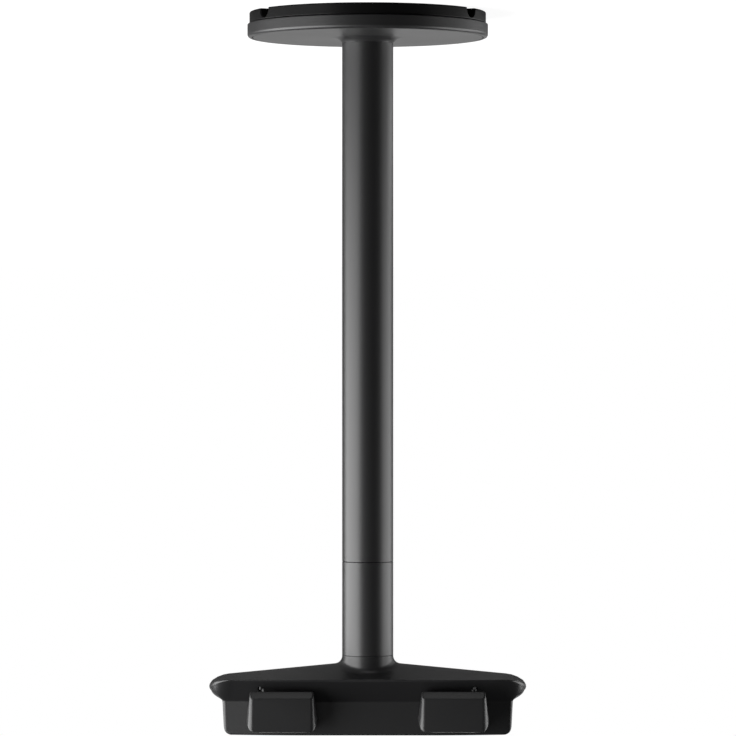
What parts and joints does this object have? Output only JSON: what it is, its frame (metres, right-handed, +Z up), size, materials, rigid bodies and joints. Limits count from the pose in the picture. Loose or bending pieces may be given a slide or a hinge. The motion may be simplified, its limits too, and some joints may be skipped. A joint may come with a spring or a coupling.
{
  "type": "headphone stand",
  "caption": "Headphone stand: a weighted disc foot, a round column, and a swivelling T-shaped head with a flat crown and hook blocks on its front.",
  "frame": {"origin": "centre of the foot ring's contact face, on the column's axis", "axes": "+Z up along the column; -Y toward the front, where the hooks are; X along the head's width"},
  "size_m": [0.1238, 0.094, 0.282],
  "materials": {
    "foot_rubber": "matt black rubber",
    "sheet_foam": "thin matt foam sheet",
    "ballast_iron": "bare cast iron",
    "satin_paint": "satin charcoal powder coat",
    "satin_column": "satin charcoal powder coat",
    "head_plastic": "satin charcoal moulding, fine grain",
    "pad_rubber": "soft matt silicone",
    "steel": "zinc-plated steel",
    "black_steel": "black oxide steel",
    "bearing_brass": "turned brass",
    "black_acetal": "black acetal"
  },
  "bodies": {
    "stand": {"foot_ring": "foot_rubber", "base_sheet": "sheet_foam", "ballast_plate": "ballast_iron", "base_cover": "satin_paint", "base_screws": "steel", "column_bolt": "steel", "column_lock_washer": "steel", "column_washer": "steel", "lower_plug": "steel", "column_tube": "satin_column", "bearing_bush": "bearing_brass", "thrust_washer": "black_acetal"},
    "head": {"swivel_spindle": "steel", "wave_washer": "steel", "spindle_washer": "steel", "spindle_nut": "steel", "neck_sleeve": "satin_column", "neck_dowels": "steel", "head_yoke": "head_plastic", "head_bolt": "steel", "head_washer": "steel", "top_pad": "pad_rubber", "hook_left": "head_plastic", "hook_right": "head_plastic", "hook_screws": "black_steel", "hook_pins": "black_steel"}
  },
  "joints": [
    {"name": "head_swivel", "type": "hinge", "parent": "stand", "child": "head", "pos_m": [0, 0, 0.2145], "axis": [0, 0, 1], "continuous": true}
  ]
}
